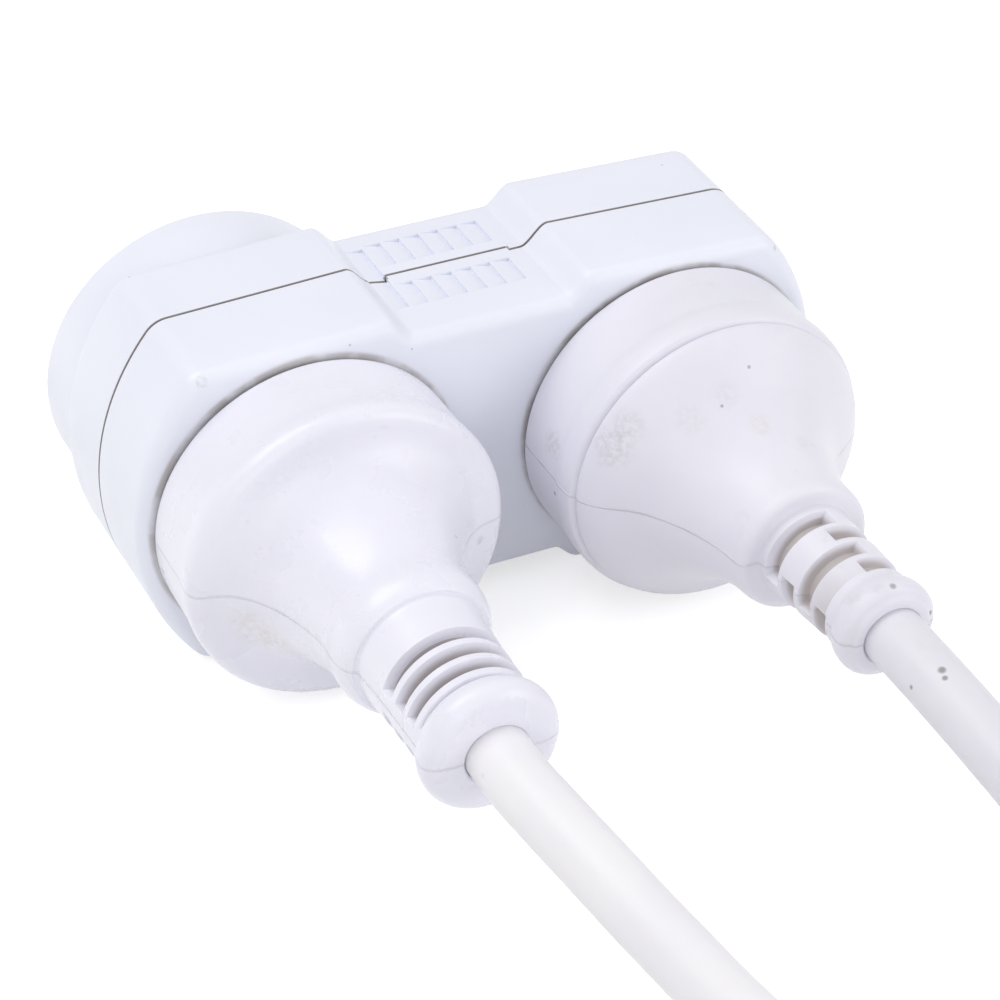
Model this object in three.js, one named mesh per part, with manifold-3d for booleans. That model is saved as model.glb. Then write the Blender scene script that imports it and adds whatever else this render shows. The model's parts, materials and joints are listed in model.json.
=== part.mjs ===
// A flat double adapter for flat-pin mains plugs, with two moulded plugs seated in it and their leads.
// Millimetres. +X runs across the two sockets, -Y is the socket side, +Z is up.
// The adapter stands on the lower edge of its case at z = 0. Pieces are drawn with the joint between the two
// shells at y = 0, and the finished group is then set midway over its own length.
import * as THREE from 'three';
import { mergeVertices } from 'three/addons/utils/BufferGeometryUtils.js';
import Module from 'manifold-3d';

const wasm = await Module();
wasm.setup();

// Case sizes
const clearance = 0.3;
const socketPitch = 46;
const axisHeight = 20.15;
const lobeTop = 20.45;
const topFall = THREE.MathUtils.degToRad(2.1);
const waistHalf = 17.95;
const shoulderFoot = 9.4;
const shoulderRun = 3.4;
const endRadius = 30.1;
const endInset = 9.95;
const cornerRadius = 3.2;
const frontDepth = 12.45;
const rearDepth = 10.5;
const jointGap = 0.36;
const frontEdge = 1.7;
const rearEdge = 1.1;
const wall = 2.2;
const rearWall = 1.9;
const lipWall = 1.2;
const lipLength = 1.8;
const bossRadius = 19.35;
const bossDepth = 9.1;
const bossEdge = 0.5;
const bossWall = 2.4;

// Grip teeth moulded across the waist
const toothPitch = 2.46;
const toothCount = 7;
const toothStart = -7.6;
const toothRun = 2.3;
const toothDepth = 0.42;
const toothLength = 4.8;
const rearToothEnd = 7.3;
const frontToothEnd = -1.5;
const longToothFront = -6.3;
const longToothRear = 6.8;
const tongueReach = 0.62;
const tongueStart = -7.4;
const tongueEnd = 7.9;

// Flat pins: two blades leaning together at the top, and a longer upright earth blade below
const bladeWidth = 6.4;
const bladeThick = 1.6;
const bladeLean = THREE.MathUtils.degToRad(30);
const bladeSide = 6.86;
const bladeUp = 0.6;
const earthDown = 9.7;
const liveLength = 17.1;
const earthLength = 19.9;
const bladeTip = 1.2;

// Contact strips inside the case
const stripThick = 0.8;
const liveStripY = 4.6;
const earthStripY = 7.5;
const activeStripLow = 4.9;
const stripHeight = 2.2;
const neutralStripLow = -5.4;
const earthStripLow = -8.5;
const padWide = 7.4;
const padTall = 6.8;
const leafThick = 0.6;
const leafWidth = 5.6;
const leafFlare = 0.9;
const leafReach = 12.6;
const leafPinch = 2.4;
const leafBow = 0.25;
const leafWaist = 0.35;

// Case screws
const screwHeight = 11.6;
const screwPost = 2.6;
const screwShank = 1.25;
const screwHead = 2.35;
const screwHeadDepth = 1.4;
const screwLength = 13;
const screwSlot = 0.7;
const screwCross = 1.6;
const screwCrossWide = 0.6;
const screwDome = 0.5;

// Moulded plugs: distances run out from the socket face along the plug's axis
const plugSeat = 0.4;
const carrierRadius = 14;
const carrierThick = 2.6;
const bladeTail = 5;
const cordRecess = 4;
const plugLength = 48.6;
const leadDiameterA = 7.2;
const leadDiameterB = 7.0;
const plugDriftB = 1.5;
const bendStart = 18;
const bendEnd = 46;

// Coiled part of each lead, and the last turn that lies on the coil
const coilTracks = 2;
const coilLayers = 4;
const turnSpace = 0.1;
const coilMeanTurnsA = 36.2;
const coilMeanTurnsB = 35.2;
const coilCentreA = new THREE.Vector2(-4, -208);
const coilCentreB = new THREE.Vector2(4.7, -304.5);
const lastTurnRadiusA = 29.2;
const lastTurnRadiusB = 28.3;
const lastTurnShift = 10;

// Appliance connector at the far end of each lead
const connectorWide = 13.8;
const connectorTall = 10;
const connectorNose = 17;
const noseWide = 12;
const noseTall = 8;
const connectorGrip = 19;
const connectorCut = 4;
const noseCut = 1.2;
const noseNick = 5;
const reliefLength = 24;
const reliefRadius = 5.6;
const reliefGrooves = 4;
const reliefTaper = 1.1;
const grooveDepth = 1;
const tailStraight = 6;
const tailSeat = 3;
const contactHoles = [[-7, -1.5], [7, -1.5], [0, 2.5]];
const contactHoleWide = 2.6;
const contactHoleTall = 4.6;
const contactHoleDeep = 13;

// Facets on each kind of curve
const round = {
  edge: 3, corner: 3, arc: 5, shoulder: 5, turn: 32, boss: 36, small: 14, coil: 28, slot: 5, lead: 5,
};

// Closed solids from three.js geometry
function solidOf(geometry) {
  const bare = geometry.clone();
  bare.deleteAttribute('normal');
  bare.deleteAttribute('uv');
  const merged = mergeVertices(bare, 1e-4);
  const index = Array.from(merged.index.array);
  const triangles = [];
  for (let i = 0; i < index.length; i += 3) {
    const [a, b, c] = index.slice(i, i + 3);
    if (a !== b && b !== c && c !== a) triangles.push(a, b, c);
  }
  const mesh = new wasm.Mesh({
    numProp: 3,
    vertProperties: new Float32Array(merged.attributes.position.array),
    triVerts: new Uint32Array(triangles),
  });
  return new wasm.Manifold(mesh);
}

function geometryOf(solid) {
  const mesh = solid.getMesh();
  const geometry = new THREE.BufferGeometry();
  geometry.setAttribute('position', new THREE.BufferAttribute(new Float32Array(mesh.vertProperties), 3));
  geometry.setIndex(new THREE.BufferAttribute(new Uint32Array(mesh.triVerts), 1));
  geometry.computeVertexNormals();
  return geometry;
}

function union(solids) {
  return solids.reduce((whole, solid) => whole.add(solid));
}

function block(x0, x1, y0, y1, z0, z1) {
  const box = new THREE.BoxGeometry(x1 - x0, y1 - y0, z1 - z0);
  box.translate((x0 + x1) / 2, (y0 + y1) / 2, (z0 + z1) / 2);
  return solidOf(box);
}

// Rings of equal count joined into a skin, with flat ends. They run towards +Y, each clockwise from -Y.
function loft(rings) {
  const count = rings[0].length;
  const positions = rings.flat().flatMap((p) => [p.x, p.y, p.z]);
  const index = [];
  for (let r = 0; r + 1 < rings.length; r += 1) {
    for (let i = 0; i < count; i += 1) {
      const a = r * count + i;
      const b = r * count + ((i + 1) % count);
      index.push(a, b, a + count, b, b + count, a + count);
    }
  }
  const cap = (ring, first, withRing) => {
    const flat = ring.map((p) => new THREE.Vector2(p.x, p.z));
    const ringSign = Math.sign(THREE.ShapeUtils.area(flat));
    for (const face of THREE.ShapeUtils.triangulateShape(flat, [])) {
      const same = Math.sign(THREE.ShapeUtils.area(face.map((i) => flat[i]))) === ringSign;
      const [a, b, c] = same === withRing ? face : [...face].reverse();
      index.push(first + a, first + b, first + c);
    }
  };
  cap(rings[0], 0, false);
  cap(rings.at(-1), (rings.length - 1) * count, true);
  const geometry = new THREE.BufferGeometry();
  geometry.setAttribute('position', new THREE.Float32BufferAttribute(positions, 3));
  geometry.setIndex(index);
  return solidOf(geometry);
}

// A turned form about the Y axis, from [radius, y] pairs listed towards +Y
function turned(profile, segments = round.turn) {
  return solidOf(new THREE.LatheGeometry(profile.map(([r, y]) => new THREE.Vector2(r, y)), segments));
}

function rod(radius, y0, y1, x, z, segments = round.small) {
  const cylinder = new THREE.CylinderGeometry(radius, radius, y1 - y0, segments);
  cylinder.translate(x, (y0 + y1) / 2, z);
  return solidOf(cylinder);
}

// Case outline, drawn smaller all round by inset
function quarterOutline(inset, top, fall) {
  const points = [];
  const rise = top - waistHalf;
  const shift = inset * Math.tan(Math.atan2(rise, shoulderRun) / 2);
  for (let i = 0; i <= round.shoulder; i += 1) {
    const t = i / round.shoulder;
    const blend = t * t * (3 - 2 * t);
    points.push(new THREE.Vector2(shoulderFoot + shift + shoulderRun * t, waistHalf - inset + rise * blend));
  }
  const arcCentre = socketPitch / 2 - endInset;
  const arc = endRadius - inset;
  const corner = Math.max(cornerRadius - inset, 0.5);
  const slope = Math.tan(fall);
  const centre = new THREE.Vector2(arcCentre + arc / 2, 0);
  for (let i = 0; i < 8; i += 1) {
    const topHere = top - (centre.x - shoulderFoot - shoulderRun) * slope;
    centre.y = topHere - (inset + corner) / Math.cos(fall);
    centre.x = arcCentre + Math.sqrt((arc - corner) ** 2 - centre.y ** 2);
  }
  const upper = Math.PI / 2 - fall;
  const lower = Math.atan2(centre.y, centre.x - arcCentre);
  for (let i = 0; i <= round.corner; i += 1) {
    const angle = upper + ((lower - upper) * i) / round.corner;
    points.push(new THREE.Vector2(centre.x + corner * Math.cos(angle), centre.y + corner * Math.sin(angle)));
  }
  for (let i = 1; i <= round.arc; i += 1) {
    const angle = lower * (1 - i / round.arc);
    points.push(new THREE.Vector2(arcCentre + arc * Math.cos(angle), arc * Math.sin(angle)));
  }
  return points;
}

function caseRing(inset, y) {
  const top = quarterOutline(inset, lobeTop, topFall);
  const foot = quarterOutline(inset, axisHeight, 0);
  const ring = [
    ...top,
    ...foot.slice(0, -1).reverse().map((p) => new THREE.Vector2(p.x, -p.y)),
    ...foot.map((p) => new THREE.Vector2(-p.x, -p.y)),
    ...top.slice(0, -1).reverse().map((p) => new THREE.Vector2(-p.x, p.y)),
  ];
  return ring.map((p) => new THREE.Vector3(p.x, y, p.y + axisHeight));
}

// Blades: where each stands about its plug's axis
const liveBlades = [
  { key: 'active', x: -bladeSide, z: bladeUp, lean: -bladeLean, length: liveLength },
  { key: 'neutral', x: bladeSide, z: bladeUp, lean: bladeLean, length: liveLength },
];
const earthBlade = { key: 'earth', x: 0, z: -earthDown, lean: 0, length: earthLength };
const blades = [...liveBlades, earthBlade];

// Places a form built about the Y axis on a blade's place, turned to its lean
function onBlade(geometry, blade, socketX) {
  geometry.rotateY(-blade.lean);
  geometry.translate(socketX + blade.x, 0, axisHeight + blade.z);
  return geometry;
}

function bladeSlot(blade, socketX, y0, y1, room = clearance) {
  const box = new THREE.BoxGeometry(bladeThick + 2 * room, y1 - y0, bladeWidth + 2 * room);
  box.translate(0, (y0 + y1) / 2, 0);
  return solidOf(onBlade(box, blade, socketX));
}

// A blade from its root to its tip, the tip's corners cut back; it may point either way along Y
function bladeSolid(blade, socketX, root, tip) {
  const way = Math.sign(tip - root);
  const half = bladeWidth / 2;
  const shape = new THREE.Shape();
  shape.moveTo(-half, 0);
  shape.lineTo(half, 0);
  shape.lineTo(half, Math.abs(tip - root) - bladeTip);
  shape.lineTo(half - bladeTip, Math.abs(tip - root));
  shape.lineTo(bladeTip - half, Math.abs(tip - root));
  shape.lineTo(-half, Math.abs(tip - root) - bladeTip);
  const flat = new THREE.ExtrudeGeometry(shape, { depth: bladeThick, bevelEnabled: false });
  flat.translate(0, 0, -bladeThick / 2);
  flat.rotateY(Math.PI / 2);
  if (way < 0) flat.rotateZ(Math.PI);
  flat.translate(0, root, 0);
  return solidOf(onBlade(flat, blade, socketX));
}

const socketFace = -frontDepth;
const bossFace = rearDepth + bossDepth;
const socketXs = [-socketPitch / 2, socketPitch / 2];
const bossX = socketXs[0];
const screwZs = [axisHeight + screwHeight, axisHeight - screwHeight];

// Sawtooth recesses across the top and the underside of the waist
function gripTooth(x, y0, y1) {
  const shape = new THREE.Shape();
  shape.moveTo(x - toothRun, 0.3);
  shape.lineTo(x - toothRun, 0);
  shape.lineTo(x, -toothDepth);
  shape.lineTo(x, 0.3);
  const wedge = new THREE.ExtrudeGeometry(shape, { depth: y1 - y0, bevelEnabled: false });
  wedge.rotateX(Math.PI / 2);
  wedge.translate(0, y1, axisHeight + waistHalf);
  return solidOf(wedge);
}

function gripTeeth() {
  const teeth = [gripTooth(toothStart, longToothFront, longToothRear)];
  for (let i = 1; i < toothCount; i += 1) {
    const x = toothStart + i * toothPitch;
    teeth.push(gripTooth(x, rearToothEnd - toothLength, rearToothEnd));
    teeth.push(gripTooth(x, frontToothEnd - toothLength, frontToothEnd));
  }
  return union(teeth);
}

// The joint steps back over the grip, so a short tongue of the front shell fills a notch in the rear one
function waistTongue(extra, reach) {
  const z1 = axisHeight + waistHalf;
  return block(tongueStart - extra, tongueEnd + extra, -jointGap, reach, z1 - wall, z1);
}

function roundedRings(outerY, innerY, radius) {
  const way = Math.sign(innerY - outerY);
  const rings = [];
  for (let i = 0; i <= round.edge; i += 1) {
    const angle = (Math.PI / 2) * (i / round.edge);
    rings.push(caseRing(radius * (1 - Math.sin(angle)), outerY + way * radius * (1 - Math.cos(angle))));
  }
  rings.push(caseRing(0, innerY));
  return rings;
}

function frontShell() {
  const jointY = -jointGap / 2;
  let shell = loft(roundedRings(socketFace, jointY, frontEdge));
  shell = shell.subtract(loft([caseRing(wall, socketFace + wall), caseRing(wall, 1)]));
  shell = shell.add(waistTongue(0, tongueReach - jointGap / 2));
  for (const z of screwZs) {
    shell = shell.add(rod(screwPost, socketFace + wall / 2, jointY, 0, z));
    shell = shell.subtract(rod(screwShank + clearance, rearDepth - screwLength - 1, 1, 0, z));
  }
  for (const x of socketXs) {
    for (const blade of blades) {
      shell = shell.subtract(bladeSlot(blade, x, socketFace - 1, socketFace + wall + 1));
    }
  }
  return shell.subtract(gripTeeth());
}

function rearShell() {
  const jointY = jointGap / 2;
  const lipInset = wall + clearance;
  let shell = loft(roundedRings(rearDepth, jointY, rearEdge).reverse());
  const boss = [[0, rearDepth - 1], [bossRadius, rearDepth - 1]];
  for (let i = 0; i <= round.edge; i += 1) {
    const angle = (Math.PI / 2) * (i / round.edge);
    boss.push([bossRadius - bossEdge * (1 - Math.cos(angle)), bossFace - bossEdge * (1 - Math.sin(angle))]);
  }
  boss.push([0, bossFace]);
  const bossGeometry = new THREE.LatheGeometry(boss.map(([r, y]) => new THREE.Vector2(r, y)), round.boss);
  shell = shell.add(solidOf(bossGeometry.translate(bossX, 0, axisHeight)));
  shell = shell.subtract(loft([caseRing(wall, -1), caseRing(wall, rearDepth - rearWall)]));
  const hollowStart = rearDepth - rearWall - 1;
  const hollowEnd = bossFace - bossWall;
  shell = shell.subtract(rod(bossRadius - wall, hollowStart, hollowEnd, bossX, axisHeight, round.turn));
  const lip = loft([caseRing(lipInset, -lipLength), caseRing(lipInset, jointY + 1)]);
  const lipInner = lipInset + lipWall;
  const lipHollow = loft([caseRing(lipInner, -lipLength - 1), caseRing(lipInner, jointY + 2)]);
  const bridge = loft([caseRing(wall / 2, jointY), caseRing(wall / 2, jointY + 1)]);
  shell = shell.add(lip.add(bridge).subtract(lipHollow));
  const headSeat = rearDepth - screwHeadDepth - clearance;
  for (const z of screwZs) {
    shell = shell.add(rod(screwPost, jointY, rearDepth - rearWall / 2, 0, z));
    shell = shell.subtract(rod(screwShank + clearance, -1, rearDepth + 1, 0, z));
    shell = shell.subtract(rod(screwHead + clearance, headSeat, rearDepth + 1, 0, z));
  }
  for (const blade of blades) shell = shell.subtract(bladeSlot(blade, bossX, rearDepth, bossFace + 1));
  shell = shell.subtract(waistTongue(clearance, tongueReach + jointGap / 2));
  return shell.subtract(gripTeeth());
}

// One spring leaf of a contact, pinched where it grips the blade and flared at its mouth
function contactLeaf(blade, socketX, stripY, side) {
  const inner = bladeThick / 2 + clearance;
  const root = stripY + stripThick / 2;
  const mouth = stripY - leafReach;
  const shape = new THREE.Shape();
  shape.moveTo(inner + leafThick, root);
  shape.lineTo(inner, root);
  shape.lineTo(inner + leafBow, stripY - leafReach * leafWaist);
  shape.lineTo(inner, mouth + leafPinch);
  shape.lineTo(inner + leafFlare, mouth);
  shape.lineTo(inner + leafFlare + leafThick, mouth + leafThick / 2);
  shape.lineTo(inner + leafThick, mouth + leafPinch);
  shape.lineTo(inner + leafThick + leafBow, stripY - leafReach * leafWaist);
  const leaf = new THREE.ExtrudeGeometry(shape, { depth: leafWidth, bevelEnabled: false });
  leaf.translate(0, 0, -leafWidth / 2);
  if (side < 0) leaf.rotateY(Math.PI);
  return solidOf(onBlade(leaf, blade, socketX));
}

// A contact strip: one brass bar, a pad behind each socket, and two leaves standing on each pad
function contactStrip(blade, stripY, barLow) {
  const from = socketXs[0] + blade.x;
  const to = socketXs[1] + blade.x;
  const barZ = axisHeight + barLow;
  const pieces = [block(from, to, stripY, stripY + stripThick, barZ, barZ + stripHeight)];
  for (const x of socketXs) {
    const cx = x + blade.x;
    const cz = axisHeight + blade.z;
    const low = Math.min(cz - padTall / 2, barZ);
    const high = Math.max(cz + padTall / 2, barZ + stripHeight);
    pieces.push(block(cx - padWide / 2, cx + padWide / 2, stripY, stripY + stripThick, low, high));
    pieces.push(contactLeaf(blade, x, stripY, 1), contactLeaf(blade, x, stripY, -1));
  }
  return union(pieces);
}

// Pan-headed case screw with a crossed driver recess
function caseScrew(z) {
  const face = rearDepth - 0.1;
  const under = face - screwHeadDepth + clearance;
  const shank = rod(screwShank, rearDepth - screwLength, under + 0.2, 0, z);
  const head = solidOf(new THREE.LatheGeometry([
    new THREE.Vector2(0, under),
    new THREE.Vector2(screwHead, under),
    new THREE.Vector2(screwHead, face - screwDome),
    new THREE.Vector2(screwHead * 0.7, face),
    new THREE.Vector2(0, face),
  ], round.small).translate(0, 0, z));
  const arm = screwCrossWide / 2;
  const cross = block(-screwCross, screwCross, face - screwSlot, face + 1, z - arm, z + arm)
    .add(block(-arm, arm, face - screwSlot, face + 1, z - screwCross, z + screwCross));
  return shank.add(head).subtract(cross);
}

// Plug profiles as [distance out from the socket face, radius]
const profileA = [
  [0.4, 18.25], [0.75, 18.55], [5, 18.65], [8, 18.72], [9.6, 18.95], [10.7, 19.0], [11.5, 18.75],
  [12.1, 18.15], [12.4, 17.3], [12.65, 16.2], [13.4, 14.6], [14.9, 12.9], [17.2, 11.35], [20, 10.15],
  [23, 9.3], [25.4, 9.0], [27.2, 9.1], [28.6, 9.05], [29.8, 8.65], [30.5, 8.1], [30.7, 7.6],
  [33, 7.4], [36, 7.2], [42, 7.05], [44.4, 7.05], [44.9, 7.5], [45.6, 7.85], [46.6, 7.98], [47.5, 7.7],
  [48.2, 6.9], [48.5, 5.8], [plugLength, 4.6],
];
const profileB = [
  [0.4, 18.5], [0.75, 18.8], [4, 18.82], [8.4, 18.8], [8.9, 18.9], [9.6, 19.0], [11, 18.95], [11.9, 18.75],
  [12.15, 18.35], [12.3, 17.9], [12.5, 18.25], [12.9, 18.3], [13.9, 17.75], [15.1, 16.6], [16.3, 15.0],
  [17.6, 13.3], [19.2, 11.9], [21.2, 10.6], [23.6, 9.5], [26, 8.75], [28, 8.35], [30.4, 8.2], [31.1, 7.9],
  [31.4, 7.3], [31.4, 6.0], [31.7, 5.85], [35, 5.7], [40, 5.45], [44.6, 5.3], [45.2, 5.75], [46.2, 6.0],
  [47.3, 5.95], [47.9, 5.5], [48.1, 5.0], [48.5, 4.75], [plugLength, 4.5],
];

// A slot cut into the strain relief: a sector of a ring about the plug's axis
function reliefSlot(inner, outer, middle, span, from, width) {
  const shape = new THREE.Shape();
  shape.absarc(0, 0, outer, middle - span / 2, middle + span / 2, false);
  shape.absarc(0, 0, inner, middle + span / 2, middle - span / 2, true);
  const settings = { depth: width, bevelEnabled: false, curveSegments: round.slot };
  const sector = new THREE.ExtrudeGeometry(shape, settings);
  sector.rotateX(Math.PI / 2);
  sector.translate(0, -from, 0);
  return solidOf(sector);
}

const degrees = THREE.MathUtils.degToRad;
// Each slot: distance out, width, floor radius, middle angle and span
const slotsA = [
  [36.1, 1.5, 5.5, 90, 152], [38.9, 1.35, 5.5, 90, 150], [41.5, 1.2, 5.5, 90, 148],
  [44.0, 0.35, 6.2, 90, 140],
];
const slotsB = [
  [32.6, 1.9, 4.3, 135, 112], [35.5, 1.8, 4.3, 45, 100], [38.4, 1.9, 4.3, 135, 116],
  [41.4, 1.8, 4.3, 45, 100],
];

// A moulded plug about its own axis, before it is set in its socket
function plugBody(profile, slots, leadDiameter) {
  const outline = profile.map(([out, radius]) => [radius, -out]).reverse();
  const last = profile.at(-1)[0];
  let body = turned([[0, -last], ...outline, [0, -profile[0][0]]]);
  for (const [out, width, floor, middle, span] of slots) {
    for (const turn of [0, 180]) {
      body = body.subtract(reliefSlot(floor, 10, degrees(middle + turn), degrees(span), out, width));
    }
  }
  body = body.subtract(rod(leadDiameter / 2 + clearance, -last - 1, -last + cordRecess, 0, 0));
  const carrierFloor = -plugSeat - carrierThick - clearance;
  return body.subtract(rod(carrierRadius + clearance, carrierFloor, 1, 0, 0, round.turn));
}

// A plug leans a little sideways past its shoulder, where its lead pulls on it
function bent(geometry, drift) {
  const position = geometry.attributes.position;
  for (let i = 0; i < position.count; i += 1) {
    const t = THREE.MathUtils.clamp((-position.getY(i) - bendStart) / (bendEnd - bendStart), 0, 1);
    position.setX(i, position.getX(i) + drift * t * t * (3 - 2 * t));
  }
  return geometry;
}

const plugs = [
  {
    tag: 'a', x: socketXs[0], profile: profileA, slots: slotsA, lead: leadDiameterA, drift: 0,
    colour: 0xedebf4,
  },
  {
    tag: 'b', x: socketXs[1], profile: profileB, slots: slotsB, lead: leadDiameterB, drift: plugDriftB,
    colour: 0xebe9f2,
  },
];

function plugParts(plug) {
  const faceY = socketFace - plugSeat;
  const back = faceY - carrierThick;
  let body = plugBody(plug.profile, plug.slots, plug.lead);
  for (const blade of blades) {
    const room = 2 * clearance;
    const pocket = new THREE.BoxGeometry(bladeThick + room, bladeTail + 1, bladeWidth + room);
    pocket.translate(0, -plugSeat - carrierThick - (bladeTail - 1) / 2 - clearance / 2, 0);
    pocket.rotateY(-blade.lean);
    pocket.translate(blade.x, 0, blade.z);
    body = body.subtract(solidOf(pocket));
  }
  body = solidOf(bent(geometryOf(body), plug.drift).translate(plug.x, socketFace, axisHeight));
  let carrier = rod(carrierRadius, back, faceY, plug.x, axisHeight, round.turn);
  for (const blade of blades) carrier = carrier.subtract(bladeSlot(blade, plug.x, back - 1, faceY + 1));
  const pins = blades.map((blade) => ({
    key: blade.key,
    solid: bladeSolid(blade, plug.x, back - bladeTail + clearance, faceY + blade.length),
  }));
  return { body, carrier, pins };
}

// Leads: a hand-laid run from each plug down to the floor, then a round coil, then a short tail
const exitY = socketFace - plugLength + cordRecess - clearance;
const runA = [
  [-23, exitY, 20.15], [-22.86, -61, 20.15], [-22.7, -66, 20.02], [-22.0, -71, 19.64], [-21.1, -76, 19.04],
  [-20.1, -81, 18.26], [-19, -86, 17.31], [-17.7, -91, 16.24], [-16, -97, 14.8], [-13.9, -103, 13.2],
  [-11.2, -109, 11.5], [-7.8, -115, 9.8], [-3.6, -121.5, 8.1], [1.4, -128, 6.6], [7, -134.5, 5.3],
  [13, -141, 4.4], [19, -148, 3.9], [24.6, -155.5, 3.7], [29.4, -163.5, 3.6], [33, -172, 3.6],
  [35.1, -181, 3.6],
];
const runB = [
  [24.5, exitY, 20.15], [24.6, -61, 20.15], [24.75, -66, 20.02], [25, -71, 19.64], [25.35, -76, 19.04],
  [25.75, -81, 18.26], [26.25, -86, 17.31], [26.9, -92, 16], [27.7, -99, 14.3], [28.8, -107, 12.2],
  [30.2, -115, 10], [31.9, -123, 7.9], [33.9, -131, 6.1], [36, -139, 4.8], [38.1, -147, 4],
  [40, -155.5, 3.6], [41.6, -164.5, 3.5], [42.8, -175, 3.5], [43.4, -187, 3.5], [43.45, -200, 3.5],
  [43.45, -214, 3.5], [43.45, -228, 3.5], [43.45, -242, 3.5], [43.45, -256, 3.5], [43.45, -268, 3.5],
  [43.45, -280.6, 3.5],
];

// A round lead along a route, with one ring of points every stride diameters
function tube(points, diameter, stride) {
  const route = points.map(([x, y, z]) => new THREE.Vector3(x, y, z));
  const curve = new THREE.CatmullRomCurve3(route, false, 'centripetal');
  const section = new THREE.Shape();
  section.absarc(0, 0, diameter / 2, 0, 2 * Math.PI, false);
  const steps = Math.ceil(curve.getLength() / (diameter * stride));
  const settings = { steps, bevelEnabled: false, extrudePath: curve, curveSegments: round.lead };
  return solidOf(new THREE.ExtrudeGeometry(section, settings));
}

// The outer shape of a coil of beside-and-on turns, standing on the floor
function coilRing(centre, diameter, mean) {
  const pitch = diameter + turnSpace;
  const reach = ((coilTracks - 1) * pitch + diameter) / 2;
  const height = (coilLayers - 1) * pitch + diameter;
  const ease = diameter / 3;
  const section = [
    [mean - reach, ease], [mean - reach + ease, 0], [mean + reach - ease, 0], [mean + reach, ease],
    [mean + reach, height - ease], [mean + reach - ease, height], [mean - reach + ease, height],
    [mean - reach, height - ease], [mean - reach, ease],
  ];
  const ring = new THREE.LatheGeometry(section.map(([r, y]) => new THREE.Vector2(r, y)), round.coil);
  ring.rotateX(Math.PI / 2);
  ring.translate(centre.x, centre.y, 0);
  return solidOf(ring);
}

// Chamfered section of the connector, two corners cut back on its earth side
function connectorRing(y, wide, tall, cut, nick) {
  const points = [
    [wide, tall - cut], [wide - cut, tall], [cut - wide, tall], [-wide, tall - cut],
    [-wide, nick - tall], [nick - wide, -tall], [wide - nick, -tall], [wide, nick - tall],
  ];
  return points.reverse().map(([across, z]) => new THREE.Vector3(across, y, z));
}

// An appliance connector about the Y axis, its cord end at y = 0 and its socket face towards -Y
function connectorSolid(leadDiameter) {
  const gripEnd = reliefLength + connectorGrip;
  const face = gripEnd + connectorNose;
  const grip = loft([
    connectorRing(-gripEnd, connectorWide, connectorTall, connectorCut, connectorCut),
    connectorRing(-gripEnd + 6, connectorWide, connectorTall, connectorCut, connectorCut),
    connectorRing(-reliefLength - 5, connectorWide - 1.6, connectorTall - 0.8, connectorCut, connectorCut),
    connectorRing(-reliefLength, connectorWide - 5, connectorTall - 2.5, connectorCut, connectorCut),
  ]);
  const nose = loft([
    connectorRing(-face, noseWide, noseTall, noseCut, noseNick),
    connectorRing(-gripEnd + 1, noseWide, noseTall, noseCut, noseNick),
  ]);
  const relief = [[0, -reliefLength - 1], [reliefRadius + grooveDepth, -reliefLength - 1]];
  const step = (reliefLength - 4) / reliefGrooves;
  for (let i = 0; i < reliefGrooves; i += 1) {
    const y = -reliefLength + 2 + i * step;
    const radius = reliefRadius + grooveDepth - (i * reliefTaper) / reliefGrooves;
    const floor = radius - grooveDepth;
    relief.push([radius, y], [floor, y + 0.4], [floor, y + 1.6], [radius, y + 2]);
  }
  relief.push([reliefRadius, -1], [reliefRadius - 0.8, 0], [0, 0]);
  let solid = union([grip, nose, turned(relief, round.small)]);
  solid = solid.subtract(rod(leadDiameter / 2 + clearance, -tailSeat, 1, 0, 0));
  const halfWide = contactHoleWide / 2;
  const halfTall = contactHoleTall / 2;
  for (const [x, z] of contactHoles) {
    const depth = -face + contactHoleDeep;
    solid = solid.subtract(block(x - halfWide, x + halfWide, -face - 1, depth, z - halfTall, z + halfTall));
  }
  return solid;
}

// Far end of a lead: its last half turn lies on the coil and rises into the connector that rests there
function leadEnd(centre, diameter, mean, radius) {
  const coilTop = (coilLayers - 1) * (diameter + turnSpace) + diameter + clearance;
  const low = coilTop + diameter / 2;
  const axis = coilTop + connectorTall;
  const tail = [];
  for (let i = 0; i < 8; i += 1) {
    const angle = (Math.PI / 2) * (i / 8);
    const reach = radius + lastTurnShift;
    tail.push([centre.x + mean * Math.cos(angle), centre.y - reach * Math.sin(angle), low]);
  }
  for (let i = 0; i <= 8; i += 1) {
    const angle = (Math.PI / 2) * (i / 8);
    const rise = (i / 8) ** 2 * (3 - i / 4);
    const z = low + (axis - low) * rise;
    tail.push([centre.x - radius * Math.sin(angle), centre.y - lastTurnShift - radius * Math.cos(angle), z]);
  }
  const endY = centre.y - lastTurnShift + tailStraight;
  tail.push([centre.x - radius, endY, axis]);
  const connector = geometryOf(connectorSolid(diameter));
  connector.rotateZ(Math.PI);
  connector.translate(centre.x - radius, endY - tailSeat + clearance, axis);
  return { tail: tube(tail, diameter, 1), connector: solidOf(connector) };
}

// Looks of each kind of piece
const looks = {
  case: { color: 0xe9edf3, roughness: 0.42, metalness: 0 },
  vinyl: { color: 0xeceaf4, roughness: 0.38, metalness: 0 },
  carrier: { color: 0xf0efe8, roughness: 0.5, metalness: 0 },
  brass: { color: 0xc9a24d, roughness: 0.32, metalness: 1 },
  pin: { color: 0xd8c48a, roughness: 0.28, metalness: 1 },
  steel: { color: 0xb9bcc0, roughness: 0.3, metalness: 1 },
  lead: { color: 0xe9e4ec, roughness: 0.5, metalness: 0 },
};

// The origin is midway between the plugs' cord ends and the tip of the earth pin, on the floor
const adapter = new THREE.Group();
adapter.position.y = (frontDepth + plugLength - bossFace - earthLength) / 2;

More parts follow.
